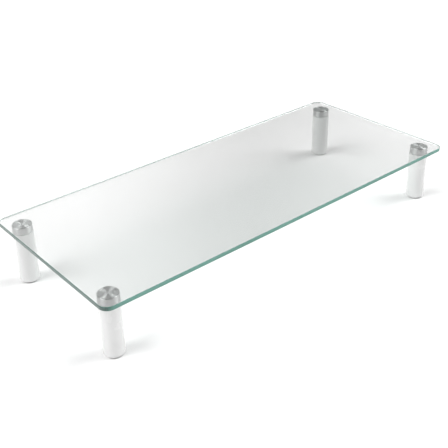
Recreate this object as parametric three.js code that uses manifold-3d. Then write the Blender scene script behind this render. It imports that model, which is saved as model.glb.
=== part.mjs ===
// Monitor riser stand: a tempered glass shelf on four screw-on round legs.
//
// A polished steel disc is bonded under each corner of the glass. A white tubular leg
// screws into each disc with a threaded stud, and stands on a soft pad.
//
// Millimetres, +Z up. The origin is on the desk, at the centre of the footprint.
// +X runs along the length of the shelf, and -Y faces the user.

import * as THREE from 'three';
import { mergeVertices } from 'three/addons/utils/BufferGeometryUtils.js';
import Module from 'manifold-3d';

const wasm = await Module();
wasm.setup();

// ---------------------------------------------------------------- driving dimensions

// whole stand
const LENGTH = 560;
const DEPTH = 240;
const HEIGHT = 80;

// glass shelf
const GLASS_THICKNESS = 5;
const GLASS_CORNER_RADIUS = 12;
const GLASS_ARRIS = 0.6;

// leg centres, measured in from the edges of the glass
const LEG_INSET_X = 21;
const LEG_INSET_Y = 26;

// mounting disc and its bond
const BOND_THICKNESS = 0.2;
const BOND_RADIUS = 11;
const DISC_RADIUS = 12;
const DISC_HEIGHT = 8.8;
const DISC_CHAMFER = 0.5;
const DISC_ROOF = 1.2;

// leg tube
const TUBE_RADIUS = 12.5;
const TUBE_WALL = 1.2;

// washer between the disc and the leg
const WASHER_THICKNESS = 0.5;
const WASHER_RADIUS = 11.5;

// leg screw, M8 x 20 with a hexagon socket in its lower end
const STUD_RADIUS = 4;
const STUD_LENGTH = 20;
const STUD_CHAMFER = 0.6;
const STUD_ENGAGEMENT = 7.4;
const HEX_SOCKET_RADIUS = 2.31;
const HEX_SOCKET_DEPTH = 5;
const HEX_SIDES = 6;
const THREAD_CLEARANCE = 0.1;

// threaded insert in the top of the tube
const INSERT_HEIGHT = 16;
const INSERT_RIB_HEIGHT = 3;
const INSERT_GROOVE_DEPTH = 0.8;

// end plug in the foot of the tube
const PLUG_DROP = 1.2;
const PLUG_HEIGHT = 13;
const PLUG_WALL = 1.6;
const PLUG_FLOOR = 2.4;
const PLUG_EDGE = 0.5;
const PLUG_GROOVE_DEPTH = 0.7;
const PLUG_GROOVE_LOW = 4.5;
const PLUG_GROOVE_HIGH = 9;

// foot pad
const FOOT_GAP = 2;
const PAD_RADIUS = 8.7;
const PAD_THICKNESS = 1.9;
const PAD_CHAMFER = 0.4;
const PAD_RECESS = 1.2;

// clearance between pieces pushed into each other
const PUSH_FIT_GAP = 0.2;

// facets round a full turn
const OUTER_SEGMENTS = 32;
const INNER_SEGMENTS = 24;
const CORNER_SEGMENTS = 8;

// ---------------------------------------------------------------- derived heights

const GLASS_BOTTOM = HEIGHT - GLASS_THICKNESS;
const DISC_TOP = GLASS_BOTTOM - BOND_THICKNESS;
const DISC_BOTTOM = DISC_TOP - DISC_HEIGHT;
const TUBE_TOP = DISC_BOTTOM - WASHER_THICKNESS;
const TUBE_BOTTOM = FOOT_GAP;
const TUBE_BORE = TUBE_RADIUS - TUBE_WALL;
const STUD_TOP = DISC_BOTTOM + STUD_ENGAGEMENT;
const STUD_HOLE_RADIUS = STUD_RADIUS + THREAD_CLEARANCE;
const INSERT_BOTTOM = TUBE_TOP - INSERT_HEIGHT;
const PLUG_BOTTOM = TUBE_BOTTOM - PLUG_DROP;
const PLUG_RADIUS = TUBE_BORE - PUSH_FIT_GAP;

// ---------------------------------------------------------------- materials

function finish(color, roughness, metalness) {
  return () => new THREE.MeshStandardMaterial({ color, roughness, metalness });
}

const clearGlass = () => new THREE.MeshStandardMaterial({
  color: 0xdcefe8,
  roughness: 0.02,
  metalness: 0,
  transparent: true,
  opacity: 0.35,
});
const clearBond = finish(0xe9f2ee, 0.1, 0);
const turnedSteel = finish(0xb9bcbf, 0.28, 1);
const whiteNylon = finish(0xe6e6e2, 0.55, 0);
const whiteEnamel = finish(0xf1f1ef, 0.18, 0);
const naturalNylon = finish(0xd9d7cf, 0.5, 0);
const platedSteel = finish(0xa9abad, 0.3, 1);
const whitePlastic = finish(0xeeeeec, 0.25, 0);
const clearRubber = finish(0xdcdcd8, 0.7, 0);

// ---------------------------------------------------------------- shapes

// A turned piece: [radius, height] points run up the outside, and the axis is Z.
function turned(profile, segments) {
  const points = profile.map(([radius, height]) => new THREE.Vector2(radius, height));
  const geometry = new THREE.LatheGeometry(points, segments);
  geometry.rotateX(Math.PI / 2);
  return geometry;
}

// A plain turned disc with chamfered rims.
function chamferedDisc(radius, bottom, top, chamferLow, chamferHigh, segments) {
  return turned([
    [0, bottom],
    [radius - chamferLow, bottom],
    [radius, bottom + chamferLow],
    [radius, top - chamferHigh],
    [radius - chamferHigh, top],
    [0, top],
  ], segments);
}

function toSolid(geometry) {
  const bare = geometry.clone();
  bare.deleteAttribute('normal');
  bare.deleteAttribute('uv');
  const merged = mergeVertices(bare);
  return new wasm.Manifold(new wasm.Mesh({
    numProp: 3,
    vertProperties: merged.getAttribute('position').array,
    triVerts: new Uint32Array(merged.getIndex().array),
  }));
}

function fromSolid(solid) {
  const mesh = solid.getMesh();
  const geometry = new THREE.BufferGeometry();
  geometry.setAttribute('position', new THREE.BufferAttribute(mesh.vertProperties, 3));
  geometry.setIndex(new THREE.BufferAttribute(mesh.triVerts, 1));
  return geometry;
}

// The shelf: a rounded rectangle with its sharp edges ground off.
function glassGeometry() {
  const x = LENGTH / 2;
  const y = DEPTH / 2;
  const r = GLASS_CORNER_RADIUS;
  const outline = new THREE.Shape();
  outline.moveTo(-x + r, -y);
  outline.lineTo(x - r, -y);
  outline.absarc(x - r, -y + r, r, -Math.PI / 2, 0);
  outline.lineTo(x, y - r);
  outline.absarc(x - r, y - r, r, 0, Math.PI / 2);
  outline.lineTo(-x + r, y);
  outline.absarc(-x + r, y - r, r, Math.PI / 2, Math.PI);
  outline.lineTo(-x, -y + r);
  outline.absarc(-x + r, -y + r, r, Math.PI, Math.PI * 1.5);
  const geometry = new THREE.ExtrudeGeometry(outline, {
    depth: GLASS_THICKNESS - 2 * GLASS_ARRIS,
    curveSegments: CORNER_SEGMENTS,
    bevelEnabled: true,
    bevelThickness: GLASS_ARRIS,
    bevelSize: GLASS_ARRIS,
    bevelOffset: -GLASS_ARRIS,
    bevelSegments: 1,
  });
  geometry.translate(0, 0, GLASS_BOTTOM + GLASS_ARRIS);
  return geometry;
}

// The clear adhesive film that holds a disc to the underside of the glass.
function bondGeometry() {
  return turned([
    [0, DISC_TOP],
    [BOND_RADIUS, DISC_TOP],
    [BOND_RADIUS, GLASS_BOTTOM],
    [0, GLASS_BOTTOM],
  ], INNER_SEGMENTS);
}

// The disc, with a blind threaded hole that opens downwards.
function discGeometry() {
  const holeTop = DISC_TOP - DISC_ROOF;
  return turned([
    [0, holeTop],
    [STUD_HOLE_RADIUS, holeTop],
    [STUD_HOLE_RADIUS, DISC_BOTTOM],
    [DISC_RADIUS - DISC_CHAMFER, DISC_BOTTOM],
    [DISC_RADIUS, DISC_BOTTOM + DISC_CHAMFER],
    [DISC_RADIUS, DISC_TOP - DISC_CHAMFER],
    [DISC_RADIUS - DISC_CHAMFER, DISC_TOP],
    [0, DISC_TOP],
  ], OUTER_SEGMENTS);
}

// A flat ring, its profile closed on itself.
function ringGeometry(inner, outer, bottom, top) {
  return turned([
    [inner, bottom],
    [outer, bottom],
    [outer, top],
    [inner, top],
    [inner, bottom],
  ], OUTER_SEGMENTS);
}

// The insert: ribs grip the tube, and the screw goes right through it.
function insertGeometry() {
  const rib = TUBE_BORE - PUSH_FIT_GAP;
  const waist = rib - INSERT_GROOVE_DEPTH;
  return turned([
    [STUD_HOLE_RADIUS, INSERT_BOTTOM],
    [waist, INSERT_BOTTOM],
    [rib, INSERT_BOTTOM + INSERT_GROOVE_DEPTH],
    [rib, INSERT_BOTTOM + INSERT_RIB_HEIGHT],
    [waist, INSERT_BOTTOM + INSERT_RIB_HEIGHT],
    [waist, TUBE_TOP - INSERT_RIB_HEIGHT],
    [rib, TUBE_TOP - INSERT_RIB_HEIGHT],
    [rib, TUBE_TOP],
    [STUD_HOLE_RADIUS, TUBE_TOP],
    [STUD_HOLE_RADIUS, INSERT_BOTTOM],
  ], INNER_SEGMENTS);
}

// The leg screw, with a hexagon socket cut up into its lower end.
function studGeometry() {
  const bottom = STUD_TOP - STUD_LENGTH;
  const chamfer = STUD_CHAMFER;
  const shank = chamferedDisc(STUD_RADIUS, bottom, STUD_TOP, chamfer, chamfer, INNER_SEGMENTS);
  const radius = HEX_SOCKET_RADIUS;
  const key = new THREE.CylinderGeometry(radius, radius, 2 * HEX_SOCKET_DEPTH, HEX_SIDES);
  key.rotateX(Math.PI / 2);
  key.translate(0, 0, bottom);
  return fromSolid(toSolid(shank).subtract(toSolid(key)));
}

// The end plug: a cup pushed up into the tube, grooved to grip, recessed below for the pad.
function plugGeometry() {
  const top = PLUG_BOTTOM + PLUG_HEIGHT;
  const groove = PLUG_RADIUS - PLUG_GROOVE_DEPTH;
  const cup = PLUG_RADIUS - PLUG_WALL - PLUG_GROOVE_DEPTH;
  const padRoom = PAD_RADIUS + PUSH_FIT_GAP;
  return turned([
    [0, PLUG_BOTTOM + PAD_RECESS],
    [padRoom, PLUG_BOTTOM + PAD_RECESS],
    [padRoom, PLUG_BOTTOM],
    [PLUG_RADIUS - PLUG_EDGE, PLUG_BOTTOM],
    [PLUG_RADIUS, PLUG_BOTTOM + PLUG_EDGE],
    [PLUG_RADIUS, PLUG_BOTTOM + PLUG_GROOVE_LOW],
    [groove, PLUG_BOTTOM + PLUG_GROOVE_LOW],
    [groove, PLUG_BOTTOM + PLUG_GROOVE_HIGH],
    [PLUG_RADIUS, PLUG_BOTTOM + PLUG_GROOVE_HIGH],
    [PLUG_RADIUS - PLUG_EDGE, top],
    [cup, top],
    [cup, PLUG_BOTTOM + PAD_RECESS + PLUG_FLOOR],
    [0, PLUG_BOTTOM + PAD_RECESS + PLUG_FLOOR],
  ], INNER_SEGMENTS);
}

function padGeometry() {
  return chamferedDisc(PAD_RADIUS, 0, PAD_THICKNESS, PAD_CHAMFER, 0, INNER_SEGMENTS);
}

// ---------------------------------------------------------------- assembly

function piece(name, geometry, material) {
  const mesh = new THREE.Mesh(geometry, material);
  mesh.name = name;
  return mesh;
}

// One corner: the disc under the glass, and the leg that screws into it.
function corner(place, x, y) {
  const group = new THREE.Group();
  group.position.set(x, y, 0);
  group.add(
    piece(`bond_film_${place}`, bondGeometry(), clearBond()),
    piece(`mounting_disc_${place}`, discGeometry(), turnedSteel()),
    piece(
      `leg_washer_${place}`,
      ringGeometry(STUD_HOLE_RADIUS + PUSH_FIT_GAP, WASHER_RADIUS, TUBE_TOP, DISC_BOTTOM),
      whiteNylon(),
    ),
    piece(
      `leg_tube_${place}`,
      ringGeometry(TUBE_BORE, TUBE_RADIUS, TUBE_BOTTOM, TUBE_TOP),
      whiteEnamel(),
    ),
    piece(`threaded_insert_${place}`, insertGeometry(), naturalNylon()),
    piece(`leg_screw_${place}`, studGeometry(), platedSteel()),
    piece(`end_plug_${place}`, plugGeometry(), whitePlastic()),
    piece(`foot_pad_${place}`, padGeometry(), clearRubber()),
  );
  return group;
}

const LEG_X = LENGTH / 2 - LEG_INSET_X;
const LEG_Y = DEPTH / 2 - LEG_INSET_Y;

const stand = new THREE.Group();
stand.add(
  piece('glass_top', glassGeometry(), clearGlass()),
  corner('front_left', -LEG_X, -LEG_Y),
  corner('front_right', LEG_X, -LEG_Y),
  corner('rear_left', -LEG_X, LEG_Y),
  corner('rear_right', LEG_X, LEG_Y),
);

export default stand;
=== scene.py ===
"""Looks for a glass monitor riser: a clear shelf on four white screw-on legs.

Metres, +Z up, the desk at z = 0. Every piece takes its place and size from the CAD node
that it stands for, so nothing here is moved or fitted.
"""

import math

import bmesh
import bpy
from mathutils import Matrix, Vector


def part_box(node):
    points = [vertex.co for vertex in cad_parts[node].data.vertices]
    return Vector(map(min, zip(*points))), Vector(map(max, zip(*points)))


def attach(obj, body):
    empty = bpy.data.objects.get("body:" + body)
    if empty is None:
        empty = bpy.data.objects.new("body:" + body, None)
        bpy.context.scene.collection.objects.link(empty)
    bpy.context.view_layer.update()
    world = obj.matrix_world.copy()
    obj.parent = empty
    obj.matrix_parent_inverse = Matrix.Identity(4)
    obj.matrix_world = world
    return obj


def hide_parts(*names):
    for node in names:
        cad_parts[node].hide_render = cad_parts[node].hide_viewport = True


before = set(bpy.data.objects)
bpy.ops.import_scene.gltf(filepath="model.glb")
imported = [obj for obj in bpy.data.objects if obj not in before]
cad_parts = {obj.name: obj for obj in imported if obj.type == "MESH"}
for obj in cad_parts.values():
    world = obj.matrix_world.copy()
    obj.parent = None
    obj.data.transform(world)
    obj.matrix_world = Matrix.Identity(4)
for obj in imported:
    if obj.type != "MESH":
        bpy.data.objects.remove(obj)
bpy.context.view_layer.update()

MM = 0.001
CORNERS = ("front_left", "front_right", "rear_left", "rear_right")

# ------------------------------------------------------------------ camera

CAMERA_PLACE = Vector((-0.590, -0.683, 0.550))
CAMERA_HEADING = 39.8
CAMERA_TILT = 27.1
CAMERA_ROLL = -1.5
CAMERA_LENS = 62.9
CAMERA_SHIFT_Y = -0.109


def make_camera():
    """A camera at CAMERA_PLACE that looks along its heading and down by its tilt, in degrees."""
    heading, tilt, roll = (
        math.radians(angle) for angle in (CAMERA_HEADING, CAMERA_TILT, CAMERA_ROLL)
    )
    forward = Vector((
        math.sin(heading) * math.cos(tilt),
        math.cos(heading) * math.cos(tilt),
        -math.sin(tilt),
    ))
    level_right = Vector((math.cos(heading), -math.sin(heading), 0))
    level_up = level_right.cross(forward)
    right = math.cos(roll) * level_right + math.sin(roll) * level_up
    up = math.cos(roll) * level_up - math.sin(roll) * level_right
    data = bpy.data.cameras.new("camera")
    data.lens = CAMERA_LENS
    data.shift_y = CAMERA_SHIFT_Y
    camera = bpy.data.objects.new("camera", data)
    turn = Matrix((right, up, -forward)).transposed().to_4x4()
    camera.matrix_world = Matrix.Translation(CAMERA_PLACE) @ turn
    bpy.context.scene.collection.objects.link(camera)
    bpy.context.scene.camera = camera


# ------------------------------------------------------------------ node helpers


class Nodes:
    """A small wrapper that makes and links the nodes of one material or world."""

    def __init__(self, tree):
        self.tree = tree
        tree.nodes.clear()

    def add(self, kind, values=None, **settings):
        """A node of this kind. Values go to its inputs, as numbers or as links from sockets."""
        node = self.tree.nodes.new(kind)
        for name, value in settings.items():
            setattr(node, name, value)
        for name, value in (values or {}).items():
            if isinstance(value, bpy.types.NodeSocket):
                self.tree.links.new(value, node.inputs[name])
            else:
                node.inputs[name].default_value = value
        return node

    def link(self, output, target):
        """Links an output socket to an input socket."""
        self.tree.links.new(output, target)

    def ramp(self, factor, stops):
        """A colour ramp over factor, with (position, colour) stops."""
        node = self.add("ShaderNodeValToRGB", {"Fac": factor})
        band = node.color_ramp
        while len(band.elements) < len(stops):
            band.elements.new(0.5)
        for element, (position, color) in zip(band.elements, stops):
            element.position = position
            element.color = color
        return node.outputs["Color"]

    def noise(self, place, scale, detail=4.0, roughness=0.5):
        """Noise between 0 and 1 over a place. A larger scale makes it finer."""
        values = {"Vector": place, "Scale": scale, "Detail": detail, "Roughness": roughness}
        return self.add("ShaderNodeTexNoise", values).outputs["Fac"]

    def maths(self, operation, first, second=0.0):
        """The result of one operation on one or two values."""
        node = self.add("ShaderNodeMath", {0: first, 1: second}, operation=operation)
        return node.outputs["Value"]

    def spread(self, factor, low, high):
        """Maps a factor of 0 to 1 onto low to high."""
        values = {"Value": factor, "To Min": low, "To Max": high}
        return self.add("ShaderNodeMapRange", values).outputs["Result"]

    def bump(self, height, strength, distance):
        """A normal bent by a height between 0 and 1, which stands for a distance in metres."""
        values = {"Height": height, "Strength": strength, "Distance": distance}
        return self.add("ShaderNodeBump", values).outputs["Normal"]


def grey(value):
    """An even grey, as a colour with full alpha."""
    return (value, value, value, 1.0)


def new_material(name):
    """An empty material, with the wrapper for its nodes."""
    material = bpy.data.materials.new(name)
    material.use_nodes = True
    return material, Nodes(material.node_tree)


def finish_material(nodes, shader, volume=None):
    """Puts the shader, and a volume if there is one, on the material's output."""
    output = nodes.add("ShaderNodeOutputMaterial", {"Surface": shader})
    if volume is not None:
        nodes.link(volume, output.inputs["Volume"])


def object_place(nodes):
    """Where a point lies in its own piece, in metres."""
    return nodes.add("ShaderNodeTexCoord").outputs["Object"]


# ------------------------------------------------------------------ materials


def pass_scattered_light(nodes, shader, tint):
    """Light to and from matt and brushed surfaces goes straight through a clear material, dimmed
    by tint. Rays from the camera, and sharp reflections of them, see the true refraction."""
    path = nodes.add("ShaderNodeLightPath")
    straight = nodes.add("ShaderNodeBsdfTransparent", {"Color": tint}).outputs["BSDF"]

    def choose(question, no, yes):
        values = {"Fac": path.outputs[question], 1: no, 2: yes}
        return nodes.add("ShaderNodeMixShader", values).outputs["Shader"]

    reflected = choose("Is Singular Ray", straight, shader)
    either = choose("Is Glossy Ray", shader, reflected)
    scattered = choose("Is Diffuse Ray", either, straight)
    return choose("Is Shadow Ray", scattered, straight)


def green_tint(nodes):
    """The green that long runs of float glass take up from the iron in it."""
    tint = nodes.add("ShaderNodeVolumeAbsorption", {
        "Color": (0.30, 0.80, 0.68, 1.0),
        "Density": 6.0,
    })
    return tint.outputs["Volume"]


def clear_glass():
    """Float glass, with the faint waviness that tempering leaves. It is a little greyer than
    real float glass, because the floor behind it is lit to just beyond white."""
    material, nodes = new_material("clear_glass")
    wave = nodes.noise(object_place(nodes), 9.0, detail=1.0)
    glass = nodes.add("ShaderNodeBsdfPrincipled", {
        "Base Color": (0.755, 0.745, 0.745, 1.0),
        "Roughness": 0.0,
        "IOR": 1.52,
        "Transmission Weight": 1.0,
        "Normal": nodes.bump(wave, 0.05, 0.4 * MM),
    })
    shader = pass_scattered_light(nodes, glass.outputs["BSDF"], (0.930, 0.938, 0.935, 1.0))
    finish_material(nodes, shader, green_tint(nodes))
    return material


def glass_edge():
    """The ground and polished edge. It scatters the light that has come through the sheet: green
    on the long sides, from the glass's own tint, and painted darker on the short ends. That darker
    tone is a painted shade for the run of glass there, which is twice as long.
    Seen from inside the sheet, it lets more light through."""
    material, nodes = new_material("glass_edge")
    coordinates = nodes.add("ShaderNodeTexCoord")
    place = coordinates.outputs["Object"]
    direction = nodes.add("ShaderNodeSeparateXYZ", {"Vector": coordinates.outputs["Normal"]})
    # painted shade: edge faces that turn towards the short ends get a darker colour
    painted_end_shade = nodes.maths("ABSOLUTE", direction.outputs["X"])
    drift = nodes.noise(place, 14.0, detail=2.0)
    # the painted end shade, plus a random drift in tone
    end_shade_and_drift = nodes.maths("ADD", painted_end_shade, nodes.spread(drift, -0.25, 0.25))
    color = nodes.ramp(end_shade_and_drift, [
        (0.00, (0.21, 0.50, 0.42, 1.0)),
        (0.20, (0.17, 0.42, 0.34, 1.0)),
        (0.60, (0.10, 0.21, 0.18, 1.0)),
        (1.00, (0.18, 0.25, 0.23, 1.0)),
    ])
    inside = nodes.add("ShaderNodeNewGeometry").outputs["Backfacing"]
    grinding = nodes.noise(place, 1800.0, detail=3.0)
    edge = nodes.add("ShaderNodeBsdfPrincipled", {
        "Base Color": color,
        "Roughness": nodes.spread(drift, 0.05, 0.15),
        "IOR": 1.52,
        "Transmission Weight": nodes.spread(inside, 0.5, 0.9),
        "Normal": nodes.bump(grinding, 0.08, 0.02 * MM),
    })
    shader = pass_scattered_light(nodes, edge.outputs["BSDF"], (0.60, 0.72, 0.68, 1.0))
    finish_material(nodes, shader, green_tint(nodes))
    return material


def clear_film():
    """A cured adhesive film: all but invisible, with tiny flow marks."""
    material, nodes = new_material("clear_film")
    flow = nodes.noise(object_place(nodes), 260.0, detail=2.0)
    film = nodes.add("ShaderNodeBsdfPrincipled", {
        "Base Color": nodes.ramp(flow, [(0.3, grey(0.92)), (0.7, grey(0.98))]),
        "Roughness": 0.05,
        "IOR": 1.49,
        "Transmission Weight": 1.0,
        "Alpha": nodes.spread(flow, 0.04, 0.10),
        "Normal": nodes.bump(flow, 0.05, 0.05 * MM),
    })
    finish_material(nodes, film.outputs["BSDF"])
    return material


def turned_steel():
    """Lathe-turned stainless steel: fine rings round the axis stretch the highlights. The first
    coordinate of the turned pieces' map is the distance from their axis."""
    material, nodes = new_material("turned_steel")
    place = nodes.add("ShaderNodeTexCoord").outputs["UV"]
    radius = nodes.add("ShaderNodeSeparateXYZ", {"Vector": place}).outputs["X"]
    ring_values = {"W": radius, "Scale": 9000.0, "Detail": 3.0}
    rings = nodes.add("ShaderNodeTexNoise", ring_values, noise_dimensions="1D").outputs["Fac"]
    tangent = nodes.add("ShaderNodeTangent", direction_type="RADIAL", axis="Z")
    steel = nodes.add("ShaderNodeBsdfPrincipled", {
        "Base Color": nodes.ramp(rings, [(0.30, grey(0.50)), (0.70, grey(0.70))]),
        "Metallic": 1.0,
        "Roughness": nodes.spread(rings, 0.36, 0.46),
        "Anisotropic": 1.0,
        "Anisotropic Rotation": 0.25,
        "Tangent": tangent.outputs["Tangent"],
        "Normal": nodes.bump(rings, 0.15, 0.02 * MM),
    })
    finish_material(nodes, steel.outputs["BSDF"])
    return material


def plated_steel():
    """Zinc plate on the leg screws, slightly mottled."""
    material, nodes = new_material("plated_steel")
    mottle = nodes.noise(object_place(nodes), 420.0, detail=5.0)
    color = nodes.ramp(mottle, [
        (0.30, (0.47, 0.48, 0.50, 1.0)),
        (0.70, (0.66, 0.67, 0.68, 1.0)),
    ])
    steel = nodes.add("ShaderNodeBsdfPrincipled", {
        "Base Color": color,
        "Metallic": 1.0,
        "Roughness": nodes.spread(mottle, 0.24, 0.42),
        "Normal": nodes.bump(mottle, 0.10, 0.03 * MM),
    })
    finish_material(nodes, steel.outputs["BSDF"])
    return material


def white_enamel():
    """Gloss white enamel, with fine orange peel and a hint of uneven thickness."""
    material, nodes = new_material("white_enamel")
    place = object_place(nodes)
    cloud = nodes.noise(place, 35.0, detail=3.0)
    color = nodes.ramp(cloud, [
        (0.30, (0.725, 0.725, 0.721, 1.0)),
        (0.70, (0.760, 0.760, 0.757, 1.0)),
    ])
    peel = nodes.noise(place, 900.0, detail=2.0)
    enamel = nodes.add("ShaderNodeBsdfPrincipled", {
        "Base Color": color,
        "Roughness": nodes.spread(cloud, 0.22, 0.30),
        "Coat Weight": 0.6,
        "Coat Roughness": 0.08,
        "Normal": nodes.bump(peel, 0.06, 0.03 * MM),
    })
    finish_material(nodes, enamel.outputs["BSDF"])
    return material


def moulded_plastic(name, low, high, smoothest, grain):
    """Injection-moulded plastic: a flow pattern between the colours low and high, and a fine
    grain of the given scale, over which the roughness rises from its smoothest value."""
    material, nodes = new_material(name)
    place = object_place(nodes)
    flow = nodes.noise(place, 90.0, detail=4.0)
    skin = nodes.noise(place, grain, detail=3.0)
    plastic = nodes.add("ShaderNodeBsdfPrincipled", {
        "Base Color": nodes.ramp(flow, [(0.30, low), (0.70, high)]),
        "Roughness": nodes.spread(skin, smoothest, smoothest + 0.12),
        "Subsurface Weight": 0.15,
        "Subsurface Scale": 1.5 * MM,
        "Normal": nodes.bump(skin, 0.10, 0.03 * MM),
    })
    finish_material(nodes, plastic.outputs["BSDF"])
    return material


def milky_rubber():
    """Soft non-slip rubber, matt, with a fine cast grain."""
    material, nodes = new_material("milky_rubber")
    place = object_place(nodes)
    grain = nodes.noise(place, 1500.0, detail=4.0)
    cloud = nodes.noise(place, 160.0, detail=3.0)
    color = nodes.ramp(cloud, [
        (0.30, (0.66, 0.66, 0.64, 1.0)),
        (0.70, (0.76, 0.76, 0.74, 1.0)),
    ])
    rubber = nodes.add("ShaderNodeBsdfPrincipled", {
        "Base Color": color,
        "Roughness": nodes.spread(grain, 0.55, 0.75),
        "Subsurface Weight": 0.3,
        "Subsurface Scale": 2.0 * MM,
        "Normal": nodes.bump(grain, 0.20, 0.04 * MM),
    })
    finish_material(nodes, rubber.outputs["BSDF"])
    return material


CLEAR_GLASS = clear_glass()
GLASS_EDGE = glass_edge()
CLEAR_FILM = clear_film()
TURNED_STEEL = turned_steel()
PLATED_STEEL = plated_steel()
WHITE_ENAMEL = white_enamel()
MILKY_RUBBER = milky_rubber()
WHITE_PLASTIC = moulded_plastic(
    "white_plastic", (0.74, 0.74, 0.73, 1.0), (0.80, 0.80, 0.79, 1.0), 0.28, 1400.0
)
WHITE_NYLON = moulded_plastic(
    "white_nylon", (0.70, 0.70, 0.68, 1.0), (0.78, 0.78, 0.76, 1.0), 0.45, 1100.0
)
NATURAL_NYLON = moulded_plastic(
    "natural_nylon", (0.60, 0.58, 0.52, 1.0), (0.70, 0.68, 0.62, 1.0), 0.42, 900.0
)

# ------------------------------------------------------------------ turned shapes

ARC_STEPS = 5
ROUND_SEGMENTS = 96
SCREW_SEGMENTS = 48
ROWS_PER_PITCH = 10
RUN_OUT_TURNS = 0.8
FLANK_SLOPE = 1.25  # above 1 it leaves a flat root and crest between the flanks of a thread
SHARP_ANGLE = math.radians(38)


def rounded(profile):
    """The outline of a profile of (radius, height, fillet) points, with an arc of the fillet's
    radius in place of each point that has one."""
    outline = []
    for index, (radius, height, fillet) in enumerate(profile):
        point = Vector((radius, height))
        if not fillet:
            outline.append(point)
            continue
        before = Vector(profile[index - 1][:2]) - point
        after = Vector(profile[(index + 1) % len(profile)][:2]) - point
        half = before.angle(after) / 2
        start = point + before.normalized() * (fillet / math.tan(half))
        end = point + after.normalized() * (fillet / math.tan(half))
        centre = point + (before.normalized() + after.normalized()).normalized() * (
            fillet / math.sin(half)
        )
        for step in range(ARC_STEPS + 1):
            share = step / ARC_STEPS
            spoke = (start - centre).lerp(end - centre, share)
            outline.append(centre + spoke.normalized() * fillet)
    return outline


def thread_rows(low, high, pitch, root, crest):
    """Rows of a right-handed thread from low to high, which fades out at both ends. Each row
    gives its radius as a function of the angle."""
    rows = []
    count = round((high - low) / pitch * ROWS_PER_PITCH)
    for step in range(count + 1):
        height = low + (high - low) * step / count
        run_out = min(1.0, min(height - low, high - height) / (RUN_OUT_TURNS * pitch))

        def radius(angle, height=height, run_out=run_out):
            phase = (height / pitch - angle / math.tau) % 1.0
            flank = FLANK_SLOPE * (1 - abs(2 * phase - 1)) - (FLANK_SLOPE - 1) / 2
            ridge = min(1.0, max(0.0, flank))
            return root + (crest - root) * ridge * run_out

        rows.append((radius, height))
    return rows


def hexagon(flat_radius):
    """The radius of a hexagon with that centre-to-flat distance, as a function of angle."""

    def radius(angle):
        from_flat = (angle % (math.pi / 3)) - math.pi / 6
        return flat_radius / math.cos(from_flat)

    return radius


def as_rows(outline):
    """The points of an outline as the (radius, height) rows that turned takes."""
    return [(point.x, point.y) for point in outline]


def add_ring(mesh, radius, height, centre, segments):
    """One ring of vertices round centre, each with its distance from the axis. A zero radius
    gives the same vertex on the axis all the way round."""
    if radius == 0:
        return [(mesh.verts.new((centre.x, centre.y, height)), 0.0)] * segments
    ring = []
    for index in range(segments):
        angle = math.tau * index / segments
        reach = radius(angle) if callable(radius) else radius
        x = centre.x + reach * math.cos(angle)
        y = centre.y + reach * math.sin(angle)
        ring.append((mesh.verts.new((x, y, height)), reach))
    return ring


def add_band(mesh, low, high):
    """The faces between two rings of vertices: triangles where one of them is a point."""
    for index in range(len(low)):
        after = (index + 1) % len(low)
        around = [low[index], low[after], high[after], high[index]]
        corners = [vertex for place, vertex in enumerate(around) if vertex is not around[place - 1]]
        if len(corners) > 2:
            mesh.faces.new(corners)


def turned(name, rows, centre, closed=False, segments=ROUND_SEGMENTS):
    """A solid turned about an upright axis at centre. Rows follow its section, as (radius,
    height), where a radius may be a function of the angle. A closed section joins its last row
    to its first; any other starts and ends on the axis."""
    mesh = bmesh.new()
    rings = [add_ring(mesh, radius, height, centre, segments) for radius, height in rows]
    radii = {vertex: reach for ring in rings for vertex, reach in ring}
    circles = [[vertex for vertex, _ in ring] for ring in rings]
    if closed:
        circles.append(circles[0])
    for low, high in zip(circles, circles[1:]):
        add_band(mesh, low, high)
    layer = mesh.loops.layers.uv.new("turning")
    for face in mesh.faces:
        for loop in face.loops:
            loop[layer].uv = (radii[loop.vert], loop.vert.co.z)
    return to_object(name, mesh)


def to_object(name, mesh):
    """A smooth-shaded object of a finished mesh, sharp only where it turns by more than
    SHARP_ANGLE."""
    bmesh.ops.recalc_face_normals(mesh, faces=mesh.faces[:])
    data = bpy.data.meshes.new(name)
    mesh.to_mesh(data)
    mesh.free()
    data.polygons.foreach_set("use_smooth", [True] * len(data.polygons))
    data.set_sharp_from_angle(angle=SHARP_ANGLE)
    piece = bpy.data.objects.new(name, data)
    bpy.context.scene.collection.objects.link(piece)
    normals = piece.modifiers.new("even_normals", "WEIGHTED_NORMAL")
    normals.keep_sharp = True
    return piece


def stand_for(piece, node, body, slot, *materials):
    """piece takes the place of a CAD node, rides its body and gets its finish."""
    for material in materials:
        piece.data.materials.append(material)
    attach(piece, body)
    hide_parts(node)


def extents(node):
    """The axis, outer radius, lowest and highest point of a round CAD node."""
    low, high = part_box(node)
    return (low + high) / 2, (high.x - low.x) / 2, low.z, high.z


# ------------------------------------------------------------------ glass shelf

GLASS_CORNER = 12 * MM
GLASS_CORNER_STEPS = 24
GLASS_ROUNDING = 0.6 * MM
GLASS_ROUNDING_STEPS = 5


def rounded_rectangle(low, high, inset, height):
    """Points round a rectangle with round corners, set in from its sides by inset. They run
    counterclockwise from the left side near the front."""
    points = []
    quarters = (
        (low.x, low.y, math.pi), (high.x, low.y, 1.5 * math.pi),
        (high.x, high.y, 0.0), (low.x, high.y, 0.5 * math.pi),
    )
    middle = (low + high) / 2
    radius = GLASS_CORNER - inset
    for x, y, start in quarters:
        centre_x = x + math.copysign(GLASS_CORNER, middle.x - x)
        centre_y = y + math.copysign(GLASS_CORNER, middle.y - y)
        for step in range(GLASS_CORNER_STEPS + 1):
            angle = start + math.pi / 2 * step / GLASS_CORNER_STEPS
            points.append((
                centre_x + radius * math.cos(angle),
                centre_y + radius * math.sin(angle),
                height,
            ))
    return points


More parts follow.
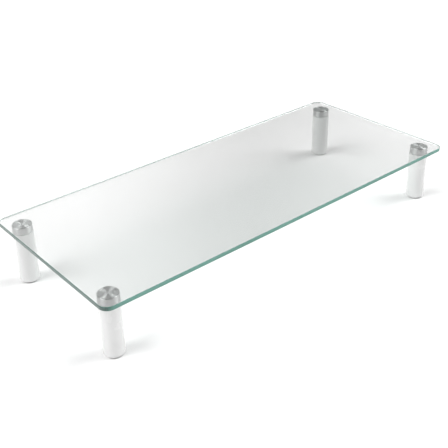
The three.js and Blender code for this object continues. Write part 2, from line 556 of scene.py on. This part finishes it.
def make_glass():
    """The sheet, with a rounded arris above and below and its own finish round the edge."""
    low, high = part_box("glass_top")
    levels = []
    for step in range(GLASS_ROUNDING_STEPS + 1):
        angle = math.pi / 2 * step / GLASS_ROUNDING_STEPS
        inset = GLASS_ROUNDING * (1 - math.sin(angle))
        levels.append((inset, GLASS_ROUNDING * (1 - math.cos(angle))))
    outline = [(inset, low.z + rise) for inset, rise in levels]
    outline += [(inset, high.z - rise) for inset, rise in reversed(levels)]
    mesh = bmesh.new()
    rings = []
    for inset, height in outline:
        points = rounded_rectangle(low, high, inset, height)
        rings.append([mesh.verts.new(point) for point in points])
    count = len(rings[0])
    for lower, upper in zip(rings, rings[1:]):
        for index in range(count):
            after = (index + 1) % count
            side = mesh.faces.new((lower[index], lower[after], upper[after], upper[index]))
            side.material_index = 1
    mesh.faces.new(reversed(rings[0]))
    mesh.faces.new(rings[-1])
    glass = to_object("glass_sheet", mesh)
    stand_for(glass, "glass_top", "shelf", "glass", CLEAR_GLASS, GLASS_EDGE)


# ------------------------------------------------------------------ corner pieces

FILM_GAP = 0.02 * MM
PITCH = 1.25 * MM
THREAD_ROOT = 3.3 * MM
THREAD_CREST = 3.97 * MM
HOLE_CREST = 4.08 * MM
HOLE_ROOT = 3.42 * MM
INSERT_ROOT = HOLE_ROOT + 0.6 * MM  # a shallow thread, clear of the screw that it holds
DISC_CAP = 1.25 * MM
WASHER_BORE = 4.35 * MM
TUBE_WALL = 1.2 * MM
SOCKET_FLAT = 2.0 * MM
SOCKET_DEPTH = 4.4 * MM
FLUTES = 12


def make_film(corner):
    """The film of adhesive, just clear of the glass above and the disc below."""
    centre, radius, low, high = extents(f"bond_film_{corner}")
    outline = rounded([
        (0, low + FILM_GAP, 0), (radius, low + FILM_GAP, 0.05 * MM),
        (radius, high - FILM_GAP, 0.05 * MM), (0, high - FILM_GAP, 0),
    ])
    film = turned(f"adhesive_{corner}", as_rows(outline), centre)
    stand_for(film, f"bond_film_{corner}", "shelf", "bond", CLEAR_FILM)


def make_disc(corner):
    """The disc: flat above, with rounded rims, and a threaded blind hole below."""
    centre, radius, low, high = extents(f"mounting_disc_{corner}")
    hole_top = high - DISC_CAP
    hole = [(0, hole_top), (HOLE_ROOT - 0.3 * MM, hole_top), (HOLE_ROOT, hole_top - 0.2 * MM)]
    thread = thread_rows(low + 0.7 * MM, hole_top - 0.3 * MM, PITCH, HOLE_ROOT, HOLE_CREST)
    outside = rounded([
        (HOLE_CREST + 0.35 * MM, low, 0), (radius, low, 0.35 * MM),
        (radius, high, 0.45 * MM), (0, high, 0),
    ])
    rows = hole + thread[::-1] + [(HOLE_CREST + 0.02 * MM, low + 0.4 * MM)] + as_rows(outside)
    disc = turned(f"disc_{corner}", rows, centre)
    stand_for(disc, f"mounting_disc_{corner}", "shelf", "disc_steel", TURNED_STEEL)


def make_washer(corner):
    """The thin washer between disc and leg."""
    centre, radius, low, high = extents(f"leg_washer_{corner}")
    edge = 0.15 * MM
    outline = rounded([
        (WASHER_BORE, low, edge), (radius, low, edge),
        (radius, high, edge), (WASHER_BORE, high, edge),
    ])
    washer = turned(f"washer_{corner}", as_rows(outline), centre, closed=True)
    stand_for(washer, f"leg_washer_{corner}", f"washer_{corner}", "washer", WHITE_NYLON)


def make_tube(corner):
    """The tube of the leg, with its cut ends rounded."""
    centre, radius, low, high = extents(f"leg_tube_{corner}")
    bore = radius - TUBE_WALL
    outline = rounded([
        (bore, low, 0.3 * MM), (radius, low, 0.6 * MM),
        (radius, high, 0.5 * MM), (bore, high, 0.3 * MM),
    ])
    tube = turned(f"leg_{corner}", as_rows(outline), centre, closed=True)
    stand_for(tube, f"leg_tube_{corner}", f"leg_{corner}", "leg_enamel", WHITE_ENAMEL)


def make_screw(corner):
    """An M8 screw without a head: rolled thread, chamfered ends and a hexagon socket below."""
    centre, radius, low, high = extents(f"leg_screw_{corner}")
    socket = hexagon(SOCKET_FLAT)
    rows = [
        (0, low + SOCKET_DEPTH + 0.6 * MM),
        (1.2 * MM, low + SOCKET_DEPTH + 0.2 * MM),
        (socket, low + SOCKET_DEPTH),
        (socket, low + 0.2 * MM),
        (2.45 * MM, low),
        (THREAD_ROOT - 0.5 * MM, low),
        (THREAD_ROOT, low + 0.5 * MM),
    ]
    rows += thread_rows(low + 0.55 * MM, high - 0.55 * MM, PITCH, THREAD_ROOT, THREAD_CREST)
    rows += [(THREAD_ROOT, high - 0.5 * MM), (THREAD_ROOT - 0.5 * MM, high), (0, high)]
    screw = turned(f"screw_{corner}", rows, centre, segments=SCREW_SEGMENTS)
    stand_for(screw, f"leg_screw_{corner}", f"leg_{corner}", "screw_steel", PLATED_STEEL)


def make_insert(corner):
    """The moulded insert: a collar at each end, and flutes between them."""
    centre, radius, low, high = extents(f"threaded_insert_{corner}")
    collar = 3.0 * MM
    waist = radius - 0.8 * MM

    def fluted(angle):
        return waist - 0.5 * MM * (0.5 + 0.5 * math.cos(FLUTES * angle))

    rows = [
        (HOLE_CREST + 0.4 * MM, low),
        (waist, low),
        (radius, low + 0.8 * MM),
        (radius, low + collar),
        (waist, low + collar),
        (fluted, low + collar + 0.6 * MM),
        (fluted, high - collar - 0.6 * MM),
        (waist, high - collar),
        (radius, high - collar),
        (radius, high - 0.3 * MM),
        (radius - 0.3 * MM, high),
        (HOLE_CREST + 0.4 * MM, high),
    ]
    thread = thread_rows(low + 0.5 * MM, high - 0.5 * MM, PITCH, INSERT_ROOT, HOLE_CREST)
    rows += thread[::-1]
    insert = turned(f"insert_{corner}", rows, centre, closed=True)
    stand_for(insert, f"threaded_insert_{corner}", f"leg_{corner}", "insert", NATURAL_NYLON)


def make_plug(corner):
    """The end plug: a cup with two grooves round it, and a recess below for the pad."""
    centre, radius, low, high = extents(f"end_plug_{corner}")
    recess = 8.9 * MM
    recess_top = low + 1.2 * MM
    cup = radius - 2.3 * MM
    cup_bottom = recess_top + 2.4 * MM
    groove = radius - 0.7 * MM
    profile = [
        (0, recess_top, 0), (recess, recess_top, 0.15 * MM), (recess, low, 0.25 * MM),
        (radius, low, 0.7 * MM),
    ]
    for start, end in ((4.5 * MM, 6.0 * MM), (7.5 * MM, 9.0 * MM)):
        profile += [
            (radius, low + start, 0.2 * MM), (groove, low + start, 0.2 * MM),
            (groove, low + end, 0.2 * MM), (radius, low + end, 0.2 * MM),
        ]
    profile += [
        (radius - 0.5 * MM, high, 0.3 * MM), (cup, high, 0.3 * MM),
        (cup, cup_bottom, 0.6 * MM), (0, cup_bottom, 0),
    ]
    plug = turned(f"plug_{corner}", as_rows(rounded(profile)), centre)
    stand_for(plug, f"end_plug_{corner}", f"leg_{corner}", "plug", WHITE_PLASTIC)


def make_pad(corner):
    """The foot pad, with two moulded rings cut into its sole."""
    centre, radius, low, high = extents(f"foot_pad_{corner}")
    depth = 0.35 * MM
    profile = [(0, low, 0)]
    for start, end in ((2.4 * MM, 3.2 * MM), (5.2 * MM, 6.0 * MM)):
        profile += [
            (start, low, 0.1 * MM), (start, low + depth, 0.1 * MM),
            (end, low + depth, 0.1 * MM), (end, low, 0.1 * MM),
        ]
    profile += [(radius, low, 0.5 * MM), (radius, high, 0.2 * MM), (0, high, 0)]
    pad = turned(f"pad_{corner}", as_rows(rounded(profile)), centre)
    stand_for(pad, f"foot_pad_{corner}", f"leg_{corner}", "pad", MILKY_RUBBER)


# ------------------------------------------------------------------ studio

FLOOR_SIZE = 30.0


def make_floor():
    """A plain pale floor, very slightly uneven in tone."""
    bpy.ops.mesh.primitive_plane_add(size=FLOOR_SIZE, location=(0, 0, 0))
    floor = bpy.context.object
    floor.name = "studio_floor"
    material, nodes = new_material("pale_floor")
    cloud = nodes.noise(object_place(nodes), 2.0, detail=2.0)
    paper = nodes.add("ShaderNodeBsdfPrincipled", {
        "Base Color": nodes.ramp(cloud, [(0.3, grey(0.925)), (0.7, grey(0.935))]),
        "Roughness": 0.9,
        "Specular IOR Level": 0.1,
    })
    finish_material(nodes, paper.outputs["BSDF"])
    floor.data.materials.append(material)


def add_soft_sun(name, heading, elevation, spread, strength):
    """A wide, far lamp, with its angles in degrees. It lights the whole floor evenly and casts
    soft shadows."""
    data = bpy.data.lights.new(name, "SUN")
    data.angle = math.radians(spread)
    data.energy = strength
    light = bpy.data.objects.new(name, data)
    turn, rise = math.radians(heading), math.radians(elevation)
    towards = Vector((
        math.sin(turn) * math.cos(rise), math.cos(turn) * math.cos(rise), math.sin(rise)
    ))
    light.rotation_euler = towards.to_track_quat("Z", "Y").to_euler()
    bpy.context.scene.collection.objects.link(light)


def make_world():
    """The studio's surroundings: dim walls, with two pale panels ahead of the camera and a dark
    gap between them. The left panel is the brighter one. The walls are brightest from about 20
    to 37 degrees above the horizon, and a pale skirt runs round below that. The camera itself
    sees plain white."""
    world = bpy.data.worlds.new("studio")
    world.use_nodes = True
    bpy.context.scene.world = world
    nodes = Nodes(world.node_tree)
    place = nodes.add("ShaderNodeTexCoord").outputs["Generated"]
    split = nodes.add("ShaderNodeSeparateXYZ", {"Vector": place})
    height = split.outputs["Z"]
    heading = nodes.maths("ARCTAN2", split.outputs["X"], split.outputs["Y"])
    turn = nodes.maths("ADD", nodes.maths("DIVIDE", heading, math.tau), 0.5)
    walls = nodes.ramp(turn, [
        (0.000, grey(0.12)), (0.111, grey(0.10)), (0.210, grey(0.12)), (0.330, grey(0.16)),
        (0.480, grey(0.30)), (0.565, grey(0.95)), (0.578, grey(0.90)), (0.592, grey(0.60)),
        (0.606, grey(0.24)), (0.617, grey(0.10)), (0.626, grey(0.18)), (0.638, grey(0.40)),
        (0.648, grey(0.56)), (0.800, grey(0.20)), (0.900, grey(0.14)), (1.000, grey(0.12)),
    ])
    rise = nodes.ramp(height, [
        (0.00, grey(0.40)), (0.20, grey(0.60)), (0.33, grey(1.60)), (0.60, grey(1.60)),
        (0.70, grey(0.40)), (1.00, grey(0.20)),
    ])
    skirt = nodes.ramp(height, [(0.00, grey(0.80)), (0.25, grey(0.80)), (0.35, grey(0.00))])
    glow = nodes.maths("ADD", nodes.maths("MULTIPLY", walls, rise), skirt)
    seen = nodes.add("ShaderNodeBackground", {"Color": grey(1.0), "Strength": 1.0})
    lit = nodes.add("ShaderNodeBackground", {"Color": grey(1.0), "Strength": glow})
    path = nodes.add("ShaderNodeLightPath")
    mix = nodes.add("ShaderNodeMixShader", {
        "Fac": path.outputs["Is Camera Ray"],
        1: lit.outputs["Background"],
        2: seen.outputs["Background"],
    })
    nodes.add("ShaderNodeOutputWorld", {"Surface": mix.outputs["Shader"]})


def make_lights():
    """A soft lamp on each side: the left one behind the camera, the right one ahead of it."""
    left = CAMERA_HEADING - 108
    right = CAMERA_HEADING + 74
    add_soft_sun("left_lamp", heading=left, elevation=50, spread=44, strength=2.40)
    add_soft_sun("right_lamp", heading=right, elevation=47, spread=38, strength=2.15)


make_camera()
make_glass()
for corner in CORNERS:
    make_film(corner)
    make_disc(corner)
    make_washer(corner)
    make_tube(corner)
    make_screw(corner)
    make_insert(corner)
    make_plug(corner)
    make_pad(corner)
make_floor()
make_world()
make_lights()
bpy.context.scene.view_settings.view_transform = "Standard"
